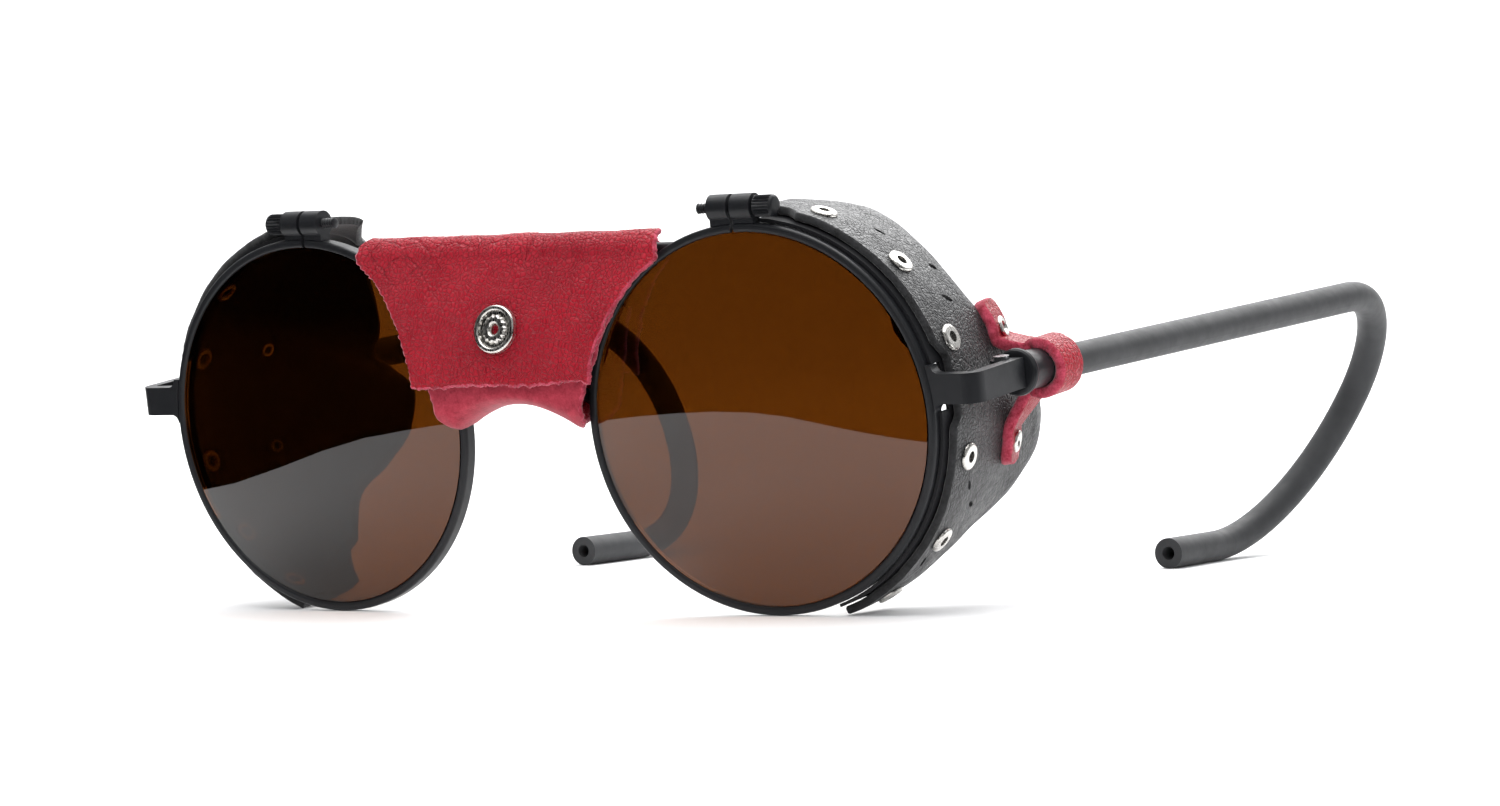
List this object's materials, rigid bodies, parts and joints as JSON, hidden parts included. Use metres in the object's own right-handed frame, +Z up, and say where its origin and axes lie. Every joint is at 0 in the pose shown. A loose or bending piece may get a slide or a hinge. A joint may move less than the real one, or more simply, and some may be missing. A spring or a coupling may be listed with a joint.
{
  "type": "glacier glasses",
  "caption": "Round-lens glacier glasses with leather side shields, a snapped leather nose guard, rim clamp screws and folding temples that curl into ear hooks.",
  "frame": {"origin": "centre of the bounding box at the level of the surface that the rims and ear hooks stand on", "axes": "+X to the wearer's left, +Y back along the temples, +Z up; the lenses face -Y"},
  "size_m": [0.141, 0.1311, 0.0549],
  "materials": {
    "black_metal": "satin",
    "black_trim": "matt",
    "lens_glass": "polished, brown tint",
    "steel": "brushed",
    "bright_metal": "polished",
    "shield_leather": "pebbled grain, satin",
    "temple_rubber": "matt",
    "red_leather": "fine grain, satin"
  },
  "bodies": {
    "front": {"rim_left": "black_metal", "lens_left": "lens_glass", "end_piece_left": "black_metal", "clamp_outer_left": "black_metal", "clamp_inner_left": "black_metal", "hinge_screw_left": "steel", "shield_leather_left": "shield_leather", "shield_strip_left": "black_trim", "shield_eyelet_left_1": "bright_metal", "shield_eyelet_left_2": "bright_metal", "shield_eyelet_left_3": "bright_metal", "shield_eyelet_left_4": "bright_metal", "shield_eyelet_left_5": "bright_metal", "shield_eyelet_left_6": "bright_metal", "rim_right": "black_metal", "lens_right": "lens_glass", "end_piece_right": "black_metal", "clamp_outer_right": "black_metal", "clamp_inner_right": "black_metal", "hinge_screw_right": "steel", "shield_leather_right": "shield_leather", "shield_strip_right": "black_trim", "shield_eyelet_right_1": "bright_metal", "shield_eyelet_right_2": "bright_metal", "shield_eyelet_right_3": "bright_metal", "shield_eyelet_right_4": "bright_metal", "shield_eyelet_right_5": "bright_metal", "shield_eyelet_right_6": "bright_metal", "bridge_top_bar": "black_metal", "bridge_lower_bar": "black_metal", "nose_leather_back": "red_leather", "snap_stud": "bright_metal"},
    "temple_left": {"temple_hinge_left": "black_metal", "temple_core_left": "steel", "temple_tube_left": "temple_rubber", "temple_loop_left": "red_leather", "loop_rivet_upper_left": "bright_metal", "loop_rivet_lower_left": "bright_metal"},
    "clamp_screw_left": {"clamp_screw_left": "black_metal"},
    "temple_right": {"temple_hinge_right": "black_metal", "temple_core_right": "steel", "temple_tube_right": "temple_rubber", "temple_loop_right": "red_leather", "loop_rivet_upper_right": "bright_metal", "loop_rivet_lower_right": "bright_metal"},
    "clamp_screw_right": {"clamp_screw_right": "black_metal"},
    "nose_flap": {"nose_leather_flap": "red_leather", "snap_cap": "bright_metal", "snap_socket": "bright_metal"}
  },
  "joints": [
    {"name": "temple_left_hinge", "type": "hinge", "parent": "front", "child": "temple_left", "pos_m": [0.0656, -0.04511, 0.03048], "axis": [0, -0.1222, 0.9925], "range_deg": [0, 87], "deforming": ["shield_leather_left"]},
    {"name": "temple_right_hinge", "type": "hinge", "parent": "front", "child": "temple_right", "pos_m": [-0.0656, -0.04511, 0.03048], "axis": [0, 0.1222, -0.9925], "range_deg": [0, 68], "deforming": ["shield_leather_right"]},
    {"name": "clamp_screw_left_spin", "type": "hinge", "parent": "front", "child": "clamp_screw_left", "pos_m": [0.03474, -0.05923, 0.05313], "axis": [0.9986, 0.0519, 0.0064], "continuous": true},
    {"name": "clamp_screw_right_spin", "type": "hinge", "parent": "front", "child": "clamp_screw_right", "pos_m": [-0.03474, -0.05923, 0.05313], "axis": [-0.9986, 0.0519, 0.0064], "continuous": true},
    {"name": "nose_flap_lift", "type": "hinge", "parent": "front", "child": "nose_flap", "pos_m": [0, -0.05854, 0.04797], "axis": [-1, 0, 0], "range_deg": [0, 90]}
  ]
}
